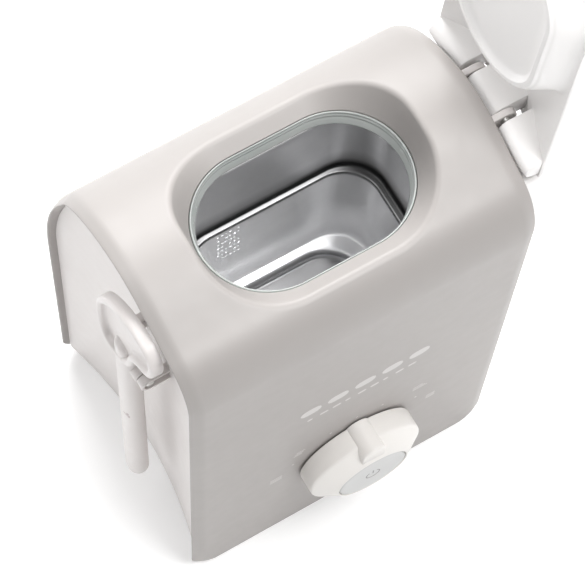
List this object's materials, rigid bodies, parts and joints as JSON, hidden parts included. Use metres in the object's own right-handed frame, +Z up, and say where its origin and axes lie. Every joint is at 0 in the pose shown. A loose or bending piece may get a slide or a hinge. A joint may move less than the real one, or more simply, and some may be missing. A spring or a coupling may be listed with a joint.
{
  "type": "bottle warmer",
  "caption": "Countertop steam bottle warmer: tall saddle-topped body, oval mouth with steel tank, hinged lid stood open, side latch lever, front knob with push button.",
  "frame": {"origin": "bottom centre of the bounding box of the whole object with its lid standing open, on the surface it rests on", "axes": "+Z up, -Y towards the user (the knob side), +X to the user's right (the lid's hinge side)"},
  "size_m": [0.1968, 0.1462, 0.4171],
  "materials": {
    "shell_grey": "fine matte moulded warm grey",
    "off_white": "satin off-white moulding",
    "lid_white": "satin white moulding",
    "disc_grey": "satin pale grey",
    "stainless": "drawn stainless steel, satin to bright",
    "zinc_screw": "zinc plated",
    "aluminium": "cast, satin",
    "silicone": "translucent greenish silicone",
    "rubber": "matte black",
    "switch_black": "moulded black",
    "board_green": "coated circuit board"
  },
  "bodies": {
    "body": {"outer_shell": "shell_grey", "left_end_panel": "off_white", "right_end_panel": "off_white", "hinge_housing": "off_white", "base_plate": "off_white", "thermal_fuse": "off_white", "tank": "stainless", "heating_element": "stainless", "base_screw_1": "zinc_screw", "base_screw_2": "zinc_screw", "base_screw_3": "zinc_screw", "base_screw_4": "zinc_screw", "tank_screw_1": "zinc_screw", "tank_screw_2": "zinc_screw", "tank_screw_3": "zinc_screw", "tank_screw_4": "zinc_screw", "latch_pin": "zinc_screw", "lid_hinge_pin": "zinc_screw", "tank_clamp": "aluminium", "heating_plate": "aluminium", "tank_gasket": "silicone", "foot_1": "rubber", "foot_2": "rubber", "foot_3": "rubber", "foot_4": "rubber", "cord_gland": "rubber", "thermostat": "switch_black", "rotary_switch": "switch_black", "push_switch": "switch_black", "control_board": "board_green"},
    "knob": {"control_knob": "off_white"},
    "button": {"power_button": "disc_grey"},
    "latch": {"latch_lever": "off_white"},
    "lid": {"lid_cover": "lid_white", "lid_liner": "off_white"}
  },
  "joints": [
    {"name": "lid_hinge", "type": "hinge", "parent": "body", "child": "lid", "pos_m": [0.06708, -0.00756, 0.248], "axis": [0, 1, 0], "range_deg": [-94, 0]},
    {"name": "latch_hinge", "type": "hinge", "parent": "body", "child": "latch", "pos_m": [-0.09092, -0.00856, 0.174], "axis": [0, 1, 0], "range_deg": [0, 5]},
    {"name": "knob_turn", "type": "hinge", "parent": "body", "child": "knob", "pos_m": [-0.01292, -0.05573, 0.072], "axis": [0, -1, 0], "range_deg": [-60, 60]},
    {"name": "button_push", "type": "slide", "parent": "body", "child": "button", "axis": [0, 1, 0], "range_m": [0, 0.002], "stiffness_N_per_m": 400, "springref_m": -0.002}
  ]
}
